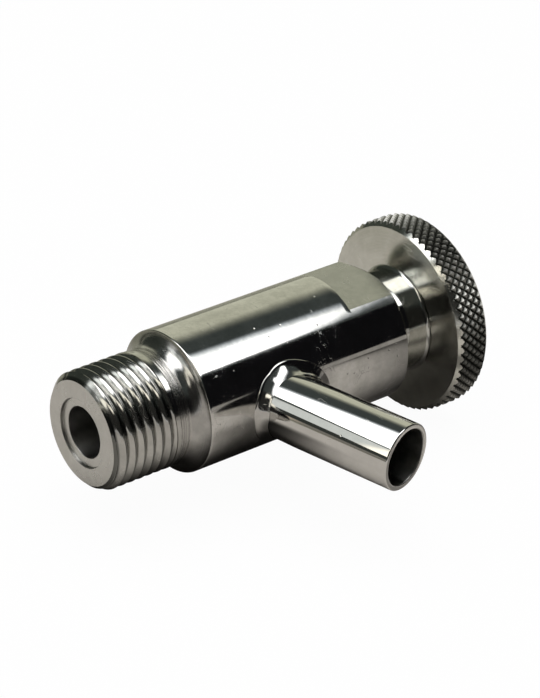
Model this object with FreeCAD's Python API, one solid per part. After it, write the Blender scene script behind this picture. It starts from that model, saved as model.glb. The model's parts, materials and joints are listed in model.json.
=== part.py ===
"""Sampling tap for a tank: turned body, welded outlet tube, screw spindle and knurled knob.

Frame, in mm: the body's axis is X, from the inlet (-X) to the knob (+X). The origin is on that axis
where the inlet thread ends. The outlet tube lies in the XY plane and points to -Y. +Z is up.
The tap is closed.
"""
import FreeCAD, Part
import math
import os
from FreeCAD import Vector

# Clearances
fixed_gap = 0.02        # between pieces that are fixed together
running_gap = 0.05      # round what turns or slides
thread_gap = 0.10       # between the plain cylinders that stand for two mating threads
seat_gap = 0.05         # across the closed seat
loose_gap = 0.30        # round what only has to pass

# Inlet thread, a G 1/2 pipe thread drawn as its major cylinder
thread_diameter = 20.955
thread_length = 13.0
lead_chamfer = 1.2
recess_radius = 6.15
recess_depth = 0.55
inlet_bore_radius = 4.55
inlet_neck_radius = 10.2    # plain neck between the thread and the shoulder

# Body
body_radius = 12.7
body_length = 49.2      # from the end of the thread to the rear face
shoulder_length = 4.6   # from the end of the thread to the shoulder's rim
shoulder_slope = 75.0   # of the shoulder's cove, where it meets the rim
shoulder_edge = 0.2
rear_chamfer_length = 1.75
rear_chamfer_depth = 2.05
flats_across = 21.0
flats_length = 11.1     # ahead of the rear face
edge_break = 0.3

# Seat and guide for the spindle
seat_x = 10.5
seat_slope = 45.0
guide_radius = 6.5
counterbore_radius = 9.3
counterbore_depth = 14.8

# Outlet tube
spout_x = 17.5          # where the tube's axis meets the body's axis
spout_lean = 14.4       # degrees from square, towards the knob
spout_radius = 6.0
spout_wall = 1.0
spout_reach = 37.5      # along the tube's axis, from the body's axis to the tip
spout_edge = 0.25
socket_floor = 9.0      # along the tube's axis, from the body's axis to the tube's inner end
spout_root = 17.35      # along the tube's axis, to where the driving taper starts, just clear of the weld
spout_taper = 0.2       # what the taper takes off the radius at the inner end
port_radius = 4.5
weld_leg = 2.0

# Travel of the spindle
spindle_pitch = 1.5
opening_turns = 2.0

# Seat plug and its shoulder screw
plug_length = 4.4
plug_hole_radius = 2.5
plug_pocket_radius = 3.6
plug_pocket_depth = 2.0
plug_screw_sink = 0.2   # screw head below the plug's face
plug_screw_radius = 2.0
plug_screw_depth = 6.0
hex_across = 2.5
hex_depth = 1.1

# Spindle
flange_radius = 5.2
flange_length = 1.4
neck_radius = 3.8
neck_flare = 1.0
piston_length = 6.8
piston_land = 1.0
ring_groove_width = 1.9
ring_groove_depth = 1.35
spindle_thread_radius = 6.0
journal_radius = 5.0
journal_length = 13.2

# Thrust washer and gland nut
washer_thickness = 0.8
nut_length = 6.4
nut_slot_width = 2.0
nut_slot_depth = 1.2
nut_to_hub = 1.7

# Knob
hub_radius = 9.2
hub_groove_x = 0.8      # from the hub's front face
hub_groove_width = 1.8
hub_groove_depth = 1.2
knob_stand_off = 6.1    # from the body's rear face to the knob's front face
knob_radius = 17.8
knob_front_chamfer = 0.9
knob_grip_width = 4.9
knob_rear_chamfer = 0.9
hub_chamfer = 0.8
drive_pin_radius = 1.25
drive_pin_x = 4.3       # from the hub's front face
drive_pin_sink = 0.4    # each end below the hub's surface

# Knob screw and washer
knob_pocket_radius = 5.2
knob_pocket_depth = 4.4
knob_washer_thickness = 0.8
knob_screw_radius = 2.5
knob_screw_depth = 7.0
knob_screw_head_radius = 4.25
knob_screw_head = 3.0
knob_hex_across = 4.0
knob_hex_depth = 2.0

# Worked out from the sizes above
thread_radius = thread_diameter / 2
inlet_x = -thread_length
guide_end = body_length - counterbore_depth
flats_start = body_length - flats_length
knob_face_x = body_length + knob_stand_off
travel = spindle_pitch * opening_turns
seat_length = (guide_radius - inlet_bore_radius) / math.tan(math.radians(seat_slope))
plug_front = seat_x + seat_gap / math.sin(math.radians(seat_slope))
plug_rear = plug_front + plug_length
nose_x = plug_rear + running_gap
piston_rear = guide_end - travel - running_gap
piston_front = piston_rear - piston_length
piston_radius = guide_radius - running_gap
nut_front = guide_end + washer_thickness
nut_rear = nut_front + nut_length
hub_front = nut_rear + nut_to_hub
journal_end = hub_front + journal_length
knob_rear = knob_face_x + knob_front_chamfer + knob_grip_width + knob_rear_chamfer
pocket_floor = knob_rear - knob_pocket_depth
along_x = Vector(1, 0, 0)
origin = Vector(0, 0, 0)


def outline(*corners):
    """Closed face from (x, radius) corners. An arc is ((x, radius) on it, (x, radius) at its end)."""
    edges = []
    last = Vector(*corners[0], 0)
    for corner in corners[1:] + corners[:1]:
        if isinstance(corner[0], tuple):
            middle = Vector(*corner[0], 0)
            end = Vector(*corner[1], 0)
            edges.append(Part.Arc(last, middle, end).toShape())
        else:
            end = Vector(*corner, 0)
            edges.append(Part.LineSegment(last, end).toShape())
        last = end
    return Part.Face(Part.Wire(edges))


def turned(*corners):
    """Solid turned about the X axis from its half outline."""
    return outline(*corners).revolve(origin, along_x, 360)


def rod(radius, start, end):
    """Cylinder on the X axis."""
    return Part.makeCylinder(radius, end - start, Vector(start, 0, 0), along_x)


def on_spout_axis(shape):
    """Turn a shape drawn along X onto the outlet tube's axis."""
    shape.rotate(origin, Vector(0, 0, 1), spout_lean - 90)
    shape.translate(Vector(spout_x, 0, 0))
    return shape


def hex_prism(across, start, end):
    """Hexagon bar on the X axis, for a socket."""
    corner_radius = across / math.sqrt(3)
    angles = [math.radians(60 * step) for step in range(7)]
    points = [Vector(start, corner_radius * math.cos(a), corner_radius * math.sin(a)) for a in angles]
    return Part.Face(Part.makePolygon(points)).extrude(Vector(end - start, 0, 0))


def ring_in_groove(groove_start, groove_width, floor_radius, bore_radius):
    """Seal squeezed between a groove's floor and the bore it wipes: a flattened round, as eight straight sides."""
    inner = floor_radius + fixed_gap
    outer = bore_radius - running_gap
    middle = groove_start + groove_width / 2
    half_width = (outer - inner) / 2
    flat = half_width * math.tan(math.radians(22.5))
    mean = (inner + outer) / 2
    return turned(
        (middle - flat, inner),
        (middle - half_width, mean - flat),
        (middle - half_width, mean + flat),
        (middle - flat, outer),
        (middle + flat, outer),
        (middle + half_width, mean + flat),
        (middle + half_width, mean - flat),
        (middle + flat, inner),
    )


def shoulder_cove():
    """Start of the cove on the neck, and its arc up to the shoulder's rim."""
    end_slope = math.radians(shoulder_slope)
    radius = (body_radius - shoulder_edge - inlet_neck_radius) / (1 - math.cos(end_slope))
    start = shoulder_length - radius * math.sin(end_slope)

    def on_cove(slope):
        return start + radius * math.sin(slope), inlet_neck_radius + radius * (1 - math.cos(slope))

    return on_cove(0), (on_cove(end_slope / 2), on_cove(end_slope))


def valve_body():
    cove_start, cove = shoulder_cove()
    body = turned(
        (inlet_x, recess_radius),
        (inlet_x, thread_radius - lead_chamfer),
        (inlet_x + lead_chamfer, thread_radius),
        (0, thread_radius),
        (thread_radius - inlet_neck_radius, inlet_neck_radius),
        cove_start,
        cove,
        (shoulder_length + shoulder_edge, body_radius),
        (body_length - rear_chamfer_length, body_radius),
        (body_length, body_radius - rear_chamfer_depth),
        (body_length, counterbore_radius + edge_break),
        (body_length - edge_break, counterbore_radius),
        (guide_end, counterbore_radius),
        (guide_end, guide_radius),
        (seat_x + seat_length, guide_radius),
        (seat_x, inlet_bore_radius),
        (inlet_x + recess_depth, inlet_bore_radius),
        (inlet_x + recess_depth, recess_radius),
    )
    half_flats = flats_across / 2
    for corner_z in (half_flats, -half_flats - body_radius):
        corner = Vector(flats_start, -body_radius, corner_z)
        body = body.cut(Part.makeBox(body_length, 2 * body_radius, body_radius, corner))
    port = rod(port_radius, 0, socket_floor)
    return body.cut(spout_blank(fixed_gap)).cut(on_spout_axis(port))


def spout_blank(gap):
    """The tube as a solid bar with its driving taper, or with a gap added all round, as the socket for it."""
    return on_spout_axis(turned(
        (socket_floor, 0),
        (socket_floor, spout_radius - spout_taper + gap),
        (spout_root, spout_radius + gap),
        (spout_reach, spout_radius + gap),
        (spout_reach, 0),
    ))


def outlet_spout():
    bore_radius = spout_radius - spout_wall
    return on_spout_axis(turned(
        (socket_floor, bore_radius),
        (socket_floor, spout_radius - spout_taper),
        (spout_root, spout_radius),
        (spout_reach - spout_edge, spout_radius),
        (spout_reach, spout_radius - spout_edge),
        (spout_reach, bore_radius + spout_edge),
        (spout_reach - spout_edge, bore_radius),
    ))


def spout_weld():
    """Bead round the saddle: what a chamfer in the corner adds to the crossed barrel and tube."""
    barrel = rod(body_radius, shoulder_length + shoulder_edge, flats_start)
    tube = spout_blank(0)
    crossed = barrel.fuse(tube)
    spout_axis = Vector(math.sin(math.radians(spout_lean)), -math.cos(math.radians(spout_lean)), 0)

    def on_saddle(edge):
        point = edge.valueAt((edge.FirstParameter + edge.LastParameter) / 2)
        from_barrel = math.hypot(point.y, point.z) - body_radius
        from_tube = (point - Vector(spout_x, 0, 0)).cross(spout_axis).Length - spout_radius
        return abs(from_barrel) < fixed_gap and abs(from_tube) < spout_taper and point.y < 0

    saddle = [edge for edge in crossed.Edges if on_saddle(edge)]
    return crossed.makeChamfer(weld_leg, saddle).cut(barrel).cut(tube)


def seat_plug():
    radius = guide_radius - loose_gap
    cone_length = (radius - inlet_bore_radius) / math.tan(math.radians(seat_slope))
    pocket = plug_front + plug_pocket_depth
    return turned(
        (plug_front, plug_pocket_radius),
        (plug_front, inlet_bore_radius),
        (plug_front + cone_length, radius),
        (plug_rear, radius),
        (plug_rear, plug_hole_radius),
        (pocket, plug_hole_radius),
        (pocket, plug_pocket_radius),
    )


def plug_screw():
    head_face = plug_front + plug_screw_sink
    head_rear = plug_front + plug_pocket_depth - running_gap
    head_radius = plug_pocket_radius - running_gap
    shoulder_radius = plug_hole_radius - running_gap
    tip = nose_x + plug_screw_depth - loose_gap
    screw = turned(
        (head_face, 0),
        (head_face, head_radius),
        (head_rear, head_radius),
        (head_rear, shoulder_radius),
        (nose_x, shoulder_radius),
        (nose_x, plug_screw_radius - fixed_gap),
        (tip, plug_screw_radius - fixed_gap),
        (tip, 0),
    )
    return screw.cut(hex_prism(hex_across, head_face, head_face + hex_depth))


def piston_grooves():
    """Start of each seal groove: one land in from either end of the piston."""
    return piston_front + piston_land, piston_rear - piston_land - ring_groove_width


def spindle():
    flange_end = nose_x + flange_length
    shaft = turned(
        (nose_x, 0),
        (nose_x, flange_radius),
        (flange_end, flange_radius),
        (flange_end + neck_flare, neck_radius),
        (piston_front - neck_flare, neck_radius),
        (piston_front, piston_radius),
        (piston_rear, piston_radius),
        (piston_rear, spindle_thread_radius),
        (hub_front, spindle_thread_radius),
        (hub_front, journal_radius),
        (journal_end - edge_break, journal_radius),
        (journal_end, journal_radius - edge_break),
        (journal_end, 0),
    )
    for start in piston_grooves():
        collar = rod(piston_radius, start, start + ring_groove_width)
        shaft = shaft.cut(collar.cut(rod(piston_radius - ring_groove_depth, start, start + ring_groove_width)))
    shaft = shaft.cut(rod(plug_screw_radius, nose_x, nose_x + plug_screw_depth))
    shaft = shaft.cut(rod(knob_screw_radius, journal_end - knob_screw_depth, journal_end))
    return shaft.cut(cross_pin(drive_pin_radius, journal_radius))


def cross_pin(radius, half_length):
    """Cylinder across the hub, upright on the body's axis."""
    base = Vector(hub_front + drive_pin_x, 0, -half_length)
    return Part.makeCylinder(radius, 2 * half_length, base, Vector(0, 0, 1))


def gland_nut():
    nut = turned(
        (nut_front, spindle_thread_radius + thread_gap),
        (nut_front, counterbore_radius - fixed_gap),
        (nut_rear - edge_break, counterbore_radius - fixed_gap),
        (nut_rear, counterbore_radius - fixed_gap - edge_break),
        (nut_rear, spindle_thread_radius + thread_gap),
    )
    corner = Vector(nut_rear - nut_slot_depth, -counterbore_radius, -nut_slot_width / 2)
    return nut.cut(Part.makeBox(nut_slot_depth, 2 * counterbore_radius, nut_slot_width, corner))


def thrust_washer():
    outer = rod(counterbore_radius - fixed_gap, guide_end, nut_front)
    return outer.cut(rod(spindle_thread_radius + thread_gap, guide_end, nut_front))


def knob():
    front_rim = knob_face_x + knob_front_chamfer
    rear_rim = front_rim + knob_grip_width
    body = turned(
        (hub_front, journal_radius + fixed_gap),
        (hub_front, hub_radius - edge_break),
        (hub_front + edge_break, hub_radius),
        (knob_face_x - hub_chamfer, hub_radius),
        (knob_face_x, hub_radius + hub_chamfer),
        (knob_face_x, knob_radius - knob_front_chamfer),
        (front_rim, knob_radius),
        (rear_rim, knob_radius),
        (knob_rear, knob_radius - knob_rear_chamfer),
        (knob_rear, knob_pocket_radius),
        (pocket_floor, knob_pocket_radius),
        (pocket_floor, knob_screw_radius + running_gap),
        (journal_end + loose_gap, knob_screw_radius + running_gap),
        (journal_end + loose_gap, journal_radius + fixed_gap),
    )
    groove_start = hub_front + hub_groove_x
    collar = rod(hub_radius, groove_start, groove_start + hub_groove_width)
    floor = rod(hub_radius - hub_groove_depth, groove_start, groove_start + hub_groove_width)
    return body.cut(collar.cut(floor)).cut(cross_pin(drive_pin_radius, hub_radius))


def knob_washer():
    outer = rod(knob_pocket_radius - loose_gap, pocket_floor, pocket_floor + knob_washer_thickness)
    return outer.cut(rod(knob_screw_radius + running_gap, pocket_floor, pocket_floor + knob_washer_thickness))


def knob_screw():
    head_front = pocket_floor + knob_washer_thickness
    head_face = head_front + knob_screw_head
    tip = journal_end - knob_screw_depth + loose_gap
    screw = turned(
        (tip, 0),
        (tip, knob_screw_radius - fixed_gap),
        (head_front, knob_screw_radius - fixed_gap),
        (head_front, knob_screw_head_radius),
        (head_face - edge_break, knob_screw_head_radius),
        (head_face, knob_screw_head_radius - edge_break),
        (head_face, 0),
    )
    return screw.cut(hex_prism(knob_hex_across, head_face - knob_hex_depth, head_face))


front_groove, rear_groove = piston_grooves()
groove_floor = piston_radius - ring_groove_depth
pieces = {
    "valve_body": valve_body(),
    "outlet_spout": outlet_spout(),
    "spout_weld": spout_weld(),
    "gland_nut": gland_nut(),
    "thrust_washer": thrust_washer(),
    "seat_plug": seat_plug(),
    "plug_screw": plug_screw(),
    "spindle": spindle(),
    "front_o_ring": ring_in_groove(front_groove, ring_groove_width, groove_floor, guide_radius),
    "rear_o_ring": ring_in_groove(rear_groove, ring_groove_width, groove_floor, guide_radius),
    "hub_seal": ring_in_groove(
        hub_front + hub_groove_x, hub_groove_width, hub_radius - hub_groove_depth, counterbore_radius),
    "drive_pin": cross_pin(drive_pin_radius - fixed_gap, hub_radius - drive_pin_sink),
    "knob": knob(),
    "knob_washer": knob_washer(),
    "knob_screw": knob_screw(),
}

os.makedirs("parts", exist_ok=True)
for name, shape in pieces.items():
    solids = shape.Solids
    solid = solids[0] if len(solids) == 1 else Part.makeCompound(solids)
    solid.exportStep("parts/" + name + ".step")
    print(name, len(solids), round(shape.Volume, 2), shape.isValid())
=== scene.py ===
import bmesh
import bpy
import json
from math import acos, atan2, ceil, copysign, cos, hypot, pi, radians, sin, sqrt, tan
from mathutils import Matrix, Vector, noise


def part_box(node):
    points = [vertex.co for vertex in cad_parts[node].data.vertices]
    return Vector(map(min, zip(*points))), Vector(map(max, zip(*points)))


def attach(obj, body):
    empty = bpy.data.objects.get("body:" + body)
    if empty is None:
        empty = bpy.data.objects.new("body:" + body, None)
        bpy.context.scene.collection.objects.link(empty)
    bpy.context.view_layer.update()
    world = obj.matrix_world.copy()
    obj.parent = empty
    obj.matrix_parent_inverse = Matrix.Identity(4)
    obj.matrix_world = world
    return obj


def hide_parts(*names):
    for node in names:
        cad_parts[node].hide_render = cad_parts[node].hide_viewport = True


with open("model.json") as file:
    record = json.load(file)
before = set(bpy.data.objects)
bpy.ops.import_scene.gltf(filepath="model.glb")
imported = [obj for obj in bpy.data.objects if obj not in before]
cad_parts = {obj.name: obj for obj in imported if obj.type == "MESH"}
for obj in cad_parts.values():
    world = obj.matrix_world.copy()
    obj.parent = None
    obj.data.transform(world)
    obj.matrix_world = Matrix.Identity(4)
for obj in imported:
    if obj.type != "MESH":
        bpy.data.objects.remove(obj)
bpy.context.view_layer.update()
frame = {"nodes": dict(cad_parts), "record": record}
scene = bpy.context.scene
print("frame loaded")

# Lengths below are in mm and angles in degrees, unless a note says otherwise
mm = 0.001
roundStep = radians(15)  # of a rounded corner
sharpAngle = radians(28)  # edges above this stay crisp
mergeGap = 0.0004 * mm  # points nearer than this become one


# What the frame says

mounts = {mount["name"]: mount for mount in frame["record"]["mounts"]}


def mountRadius(name):
    return mounts[name]["dims"]["r_mm"]


def mountPoint(name):
    return Vector(mounts[name]["pos_m"]) / mm


def nodeEnds(name):
    low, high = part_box(name)
    return low / mm, high / mm


bodyLow, bodyHigh = nodeEnds("valve_body")
knobLow, knobHigh = nodeEnds("knob")
inletX = bodyLow.x
bodyRear = bodyHigh.x
bodyRadius = bodyHigh.y
halfFlats = mountPoint("wrench_flat_top").z
knobRadius = knobHigh.z
spoutWay = Vector(mounts["outlet_tube"]["axis"])
spoutRadius = mountRadius("outlet_tube")
spoutReach = mountPoint("outlet_tube").y / spoutWay.y
spoutX = mountPoint("outlet_tube").x - spoutReach * spoutWay.x
spoutPlace = Matrix.Translation(Vector((spoutX, 0, 0)) * mm) @ Matrix.Rotation(
    atan2(spoutWay.y, spoutWay.x), 4, "Z")


# Mesh helpers

def roundedPath(corners):
    # corners are (x, radius) or (x, radius, round); each round becomes a run of short steps
    path = []
    for before, corner, after in zip(corners[-1:] + corners[:-1], corners, corners[1:] + corners[:1]):
        here = Vector(corner[:2])
        if len(corner) == 2:
            path.append(here)
            continue
        back = (Vector(before[:2]) - here).normalized()
        ahead = (Vector(after[:2]) - here).normalized()
        turn = pi - back.angle(ahead)
        centre = here + (back + ahead).normalized() * corner[2] / cos(turn / 2)
        start = here + back * corner[2] * tan(turn / 2) - centre
        way = copysign(1, back.cross(ahead))
        steps = max(2, ceil(turn / roundStep))
        for step in range(steps + 1):
            path.append(centre + Matrix.Rotation(-way * turn * step / steps, 2) @ start)
    return path


def evenly(start, end, step):
    count = max(1, ceil(abs(end - start) / step))
    return [start + (end - start) * place / count for place in range(count + 1)]


def tidyMesh(mesh):
    work = bmesh.new()
    work.from_mesh(mesh)
    bmesh.ops.remove_doubles(work, verts=work.verts, dist=mergeGap)
    bmesh.ops.dissolve_degenerate(work, edges=work.edges, dist=mergeGap / 10)
    bmesh.ops.recalc_face_normals(work, faces=work.faces)
    work.to_mesh(mesh)
    work.free()


def softEdges(mesh):
    mesh.polygons.foreach_set("use_smooth", [True] * len(mesh.polygons))
    mesh.set_sharp_from_angle(angle=sharpAngle)


def newMesh(name, points, faces):
    mesh = bpy.data.meshes.new(name)
    mesh.from_pydata(points, [], faces)
    return mesh


def ringFaces(rings, across, closed=True):
    # four-sided faces between neighbouring rings of points; the last ring joins the first if closed
    faces = []
    for ring in range(rings if closed else rings - 1):
        this, following = ring * across, (ring + 1) % rings * across
        for place in range(across):
            beside = (place + 1) % across
            faces.append((this + place, this + beside, following + beside, following + place))
    return faces


def turnedMesh(name, path, columns, closed=True, shape=None, place=None):
    # path of (x, radius) spun about X; column 0 is at +Z and they go round towards -Y
    points = []
    for x, radius in path:
        for column in range(columns):
            angle = 2 * pi * column / columns
            point = Vector((x, -radius * sin(angle), radius * cos(angle)))
            points.append((shape(point) if shape else point) * mm)
    mesh = newMesh(name, points, ringFaces(len(path), columns, closed))
    if place:
        mesh.transform(place)
    return mesh


def newPiece(name, data):
    piece = bpy.data.objects.new(name, data)
    scene.collection.objects.link(piece)
    return piece


def joinedMesh(name, meshes):
    work = bmesh.new()
    for mesh in meshes:
        work.from_mesh(mesh)
    whole = bpy.data.meshes.new(name)
    work.to_mesh(whole)
    work.free()
    return whole


def settledMesh(piece):
    # makes what the modifiers leave the piece's own mesh
    graph = bpy.context.evaluated_depsgraph_get()
    mesh = bpy.data.meshes.new_from_object(piece.evaluated_get(graph))
    piece.modifiers.clear()
    piece.data = mesh


def cutPiece(piece, cutter, operation="DIFFERENCE"):
    cut = piece.modifiers.new("cut", "BOOLEAN")
    cut.object = cutter
    cut.operation = operation
    cut.solver = "EXACT"
    settledMesh(piece)
    bpy.data.objects.remove(cutter)


def dressFaces(piece, finishOf):
    # finishOf names a face's finish by the face, its centre's x and its distance from the X axis
    mesh = piece.data
    mesh.materials.clear()
    places = {}
    for face in mesh.polygons:
        centre = face.center / mm
        name = finishOf(face, centre.x, hypot(centre.y, centre.z))
        if name not in places:
            places[name] = len(places)
            mesh.materials.append(finishes[name])
        face.material_index = places[name]


def finishPiece(piece, body, slot, *nodes):
    tidyMesh(piece.data)
    softEdges(piece.data)
    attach(piece, body)
    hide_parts(*nodes)
    print("made", piece.name, len(piece.data.polygons), "faces")


# Node helpers

def addNode(tree, kind, **settings):
    node = tree.nodes.new(kind)
    for name, value in settings.items():
        setattr(node, name, value)
    return node


def feed(socket, value):
    # a link from another node's output, or a constant; colours are given without their alpha
    if isinstance(value, bpy.types.NodeSocket):
        socket.id_data.links.new(value, socket)
    elif value is not None:
        socket.default_value = (*value, 1.0) if socket.type == "RGBA" else value


def wired(kind, values, **settings):
    # a new node in the tree of the outputs among its values, with its inputs fed in their order
    tree = next(value.id_data for value in values if isinstance(value, bpy.types.NodeSocket))
    node = addNode(tree, kind, **settings)
    for socket, value in zip(node.inputs, values):
        feed(socket, value)
    return node


def maths(operation, *values):
    return wired("ShaderNodeMath", values, operation=operation).outputs[0]


def add(first, second):
    return maths("ADD", first, second)


def less(first, second):
    return maths("SUBTRACT", first, second)


def times(first, second):
    return maths("MULTIPLY", first, second)


def over(first, second):
    return maths("DIVIDE", first, second)


def vectors(operation, first, second=None):
    node = wired("ShaderNodeVectorMath", (first, second), operation=operation)
    return node.outputs["Value" if operation in ("LENGTH", "DOT_PRODUCT") else "Vector"]


def parts(vector):
    return wired("ShaderNodeSeparateXYZ", (vector,)).outputs


def together(x, y, z):
    return wired("ShaderNodeCombineXYZ", (x, y, z)).outputs[0]


def ranged(value, low, high, toLow=0.0, toHigh=1.0, smooth=True):
    kind = "SMOOTHSTEP" if smooth else "LINEAR"
    return wired("ShaderNodeMapRange", (value, low, high, toLow, toHigh), interpolation_type=kind).outputs[0]


def treeInputs(sizes, plain):
    # inputs named after the sizes, so leadChamfer becomes "Lead chamfer"; what isn't plain is a length
    inputs = {}
    for name, value in sizes.items():
        label = "".join(" " + letter.lower() if letter.isupper() else letter for letter in name)
        inputs[label.capitalize()] = value if name in plain else value * mm
    return inputs


def shapeTree(name, sizes):
    # a Geometry Nodes tree with one named input for each size
    tree = bpy.data.node_groups.new(name, "GeometryNodeTree")
    tree.interface.new_socket("Geometry", in_out="OUTPUT", socket_type="NodeSocketGeometry")
    for label, value in sizes.items():
        kind = "NodeSocketInt" if isinstance(value, int) else "NodeSocketFloat"
        tree.interface.new_socket(label, in_out="INPUT", socket_type=kind)
    tree.interface.new_socket("Finish", in_out="INPUT", socket_type="NodeSocketMaterial")
    return tree, tree.nodes.new("NodeGroupInput").outputs


def rolled(x, radius, turn):
    # the place at this share of a turn round the X axis, from +Z towards -Y
    angle = times(turn, 2 * pi)
    y = times(maths("SINE", angle), times(radius, -1.0))
    return together(x, y, times(maths("COSINE", angle), radius))


def endShapeTree(geometry, place, finish):
    # moves the points to their places and joins them up
    tree = geometry.id_data
    move = addNode(tree, "GeometryNodeSetPosition")
    real = addNode(tree, "GeometryNodeRealizeInstances")
    merge = addNode(tree, "GeometryNodeMergeByDistance")
    coat = addNode(tree, "GeometryNodeSetMaterial")
    feed(move.inputs["Geometry"], geometry)
    feed(move.inputs["Position"], place)
    feed(real.inputs[0], move.outputs[0])
    feed(merge.inputs[0], real.outputs[0])
    feed(merge.inputs["Distance"], mergeGap)
    feed(coat.inputs["Geometry"], merge.outputs[0])
    feed(coat.inputs["Material"], finish)
    feed(tree.nodes.new("NodeGroupOutput").inputs[0], coat.outputs[0])


def shapedPiece(name, tree, sizes, finish):
    piece = newPiece(name, bpy.data.meshes.new(name))
    modifier = piece.modifiers.new(name, "NODES")
    modifier.node_group = tree
    values = {**sizes, "Finish": finish}
    for item in tree.interface.items_tree:
        if item.in_out == "INPUT":
            modifier[item.identifier] = values[item.name]
    settledMesh(piece)
    return piece


# Shared effects

def effectGroup(name, inputs, outputs):
    group = bpy.data.node_groups.new(name, "ShaderNodeTree")
    for label, kind in inputs.items():
        group.interface.new_socket(label, in_out="INPUT", socket_type=kind)
    for label, kind in outputs.items():
        group.interface.new_socket(label, in_out="OUTPUT", socket_type=kind)
    return group, group.nodes.new("NodeGroupInput").outputs, group.nodes.new("NodeGroupOutput").inputs


def useEffect(group, **values):
    node = addNode(values["Position"].id_data, "ShaderNodeGroup", node_tree=group)
    for label, value in values.items():
        feed(node.inputs[label], value)
    return node.outputs


def grain(vector, scale, detail=2.0, roughness=0.5):
    node = addNode(vector.id_data, "ShaderNodeTexNoise")
    values = {"Vector": vector, "Scale": scale, "Detail": detail, "Roughness": roughness}
    for label, value in values.items():
        feed(node.inputs[label], value)
    return node.outputs[0]


wearLook = {
    "smearScale": 95.0,
    "mottleScale": 420.0,
    "hairs": ((0.5, 420.0), (2.1, 560.0)),  # turn in radians and scale of each set of scratches
    "hairWidth": 0.006,
    "patchScale": 210.0,  # of the places that are scratched
    "nickScale": 620.0,
    "nickFrom": 0.80,  # only cells above this share hold a nick
    "wideLay": 0.11,  # the tint changes this much more slowly than the tool's rings
    "layShare": 0.35,  # what lay, smears and mottle count in the tint
    "smearShare": 0.25,
    "mottleShare": 0.4,
    "scratchDepth": 0.35,  # as a share of a nick's
}


def makeToolLay():
    # fine rings round the axis that a cutting tool leaves: the same at every angle, uneven along the part
    group, given, out = effectGroup(
        "toolLay", {"Position": "NodeSocketVector", "Spacing": "NodeSocketFloat"},
        {"Height": "NodeSocketFloat", "Tone": "NodeSocketFloat"})
    x, y, z = parts(given["Position"])
    radius = maths("SQRT", add(times(y, y), times(z, z)))
    along = over(x, given["Spacing"])
    across = over(radius, given["Spacing"])
    wide = [times(value, wearLook["wideLay"]) for value in (along, across)]
    feed(out["Height"], grain(together(along, across, 0.0), 1.0, 3.0, 0.65))
    feed(out["Tone"], grain(together(*wide, 3.7), 1.0, 2.0))
    return group


def makeHandling():
    # what use leaves on bright steel: smears, a fine mottle, crossing scratches and small nicks
    look = wearLook
    group, given, out = effectGroup("handling", {"Position": "NodeSocketVector"}, {
        name: "NodeSocketFloat" for name in ("Smear", "Mottle", "Scratch", "Nick")})
    place = given["Position"]
    smear = grain(place, look["smearScale"], 4.0, 0.6)
    mottle = grain(place, look["mottleScale"], 6.0, 0.72)
    feed(out["Smear"], ranged(smear, 0.38, 0.72))
    feed(out["Mottle"], ranged(mottle, 0.34, 0.66))
    hairs = []
    for turn, scale in look["hairs"]:
        node = addNode(group, "ShaderNodeMapping")
        feed(node.inputs["Vector"], place)
        feed(node.inputs["Rotation"], (turn, turn * 0.7, turn * 1.3))
        feed(node.inputs["Scale"], (1.0, 0.12, 0.5))
        line = maths("ABSOLUTE", less(grain(node.outputs[0], scale), 0.5))
        hairs.append(ranged(line, 0.0, look["hairWidth"], 1.0, 0.0))
    where = ranged(grain(place, look["patchScale"], 2.0), 0.56, 0.66)
    feed(out["Scratch"], times(maths("MAXIMUM", *hairs), where))
    cells = addNode(group, "ShaderNodeTexVoronoi")
    feed(cells.inputs["Vector"], place)
    feed(cells.inputs["Scale"], look["nickScale"])
    few = maths("GREATER_THAN", parts(cells.outputs["Color"])[0], look["nickFrom"])
    spot = ranged(cells.outputs["Distance"], 0.02, 0.13, 1.0, 0.0)
    feed(out["Nick"], times(spot, few))
    return group


toolLay = makeToolLay()
handling = makeHandling()


# Finishes

def newFinish(name):
    finish = bpy.data.materials.new(name)
    finish.use_nodes = True
    tree = finish.node_tree
    position = addNode(tree, "ShaderNodeTexCoord").outputs["Object"]
    return finish, tree.nodes["Principled BSDF"].inputs, position


def tinted(factor, dark, light):
    node = addNode(factor.id_data, "ShaderNodeMix", data_type="RGBA")
    for label, value in (("Factor", factor), ("A", dark), ("B", light)):
        feed(node.inputs[label], value)
    return node.outputs["Result"]


def bumped(height, depth, normal=None):
    node = addNode(height.id_data, "ShaderNodeBump")
    for label, value in (("Strength", 1.0), ("Distance", depth), ("Height", height), ("Normal", normal)):
        feed(node.inputs[label], value)
    return node.outputs[0]


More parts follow.
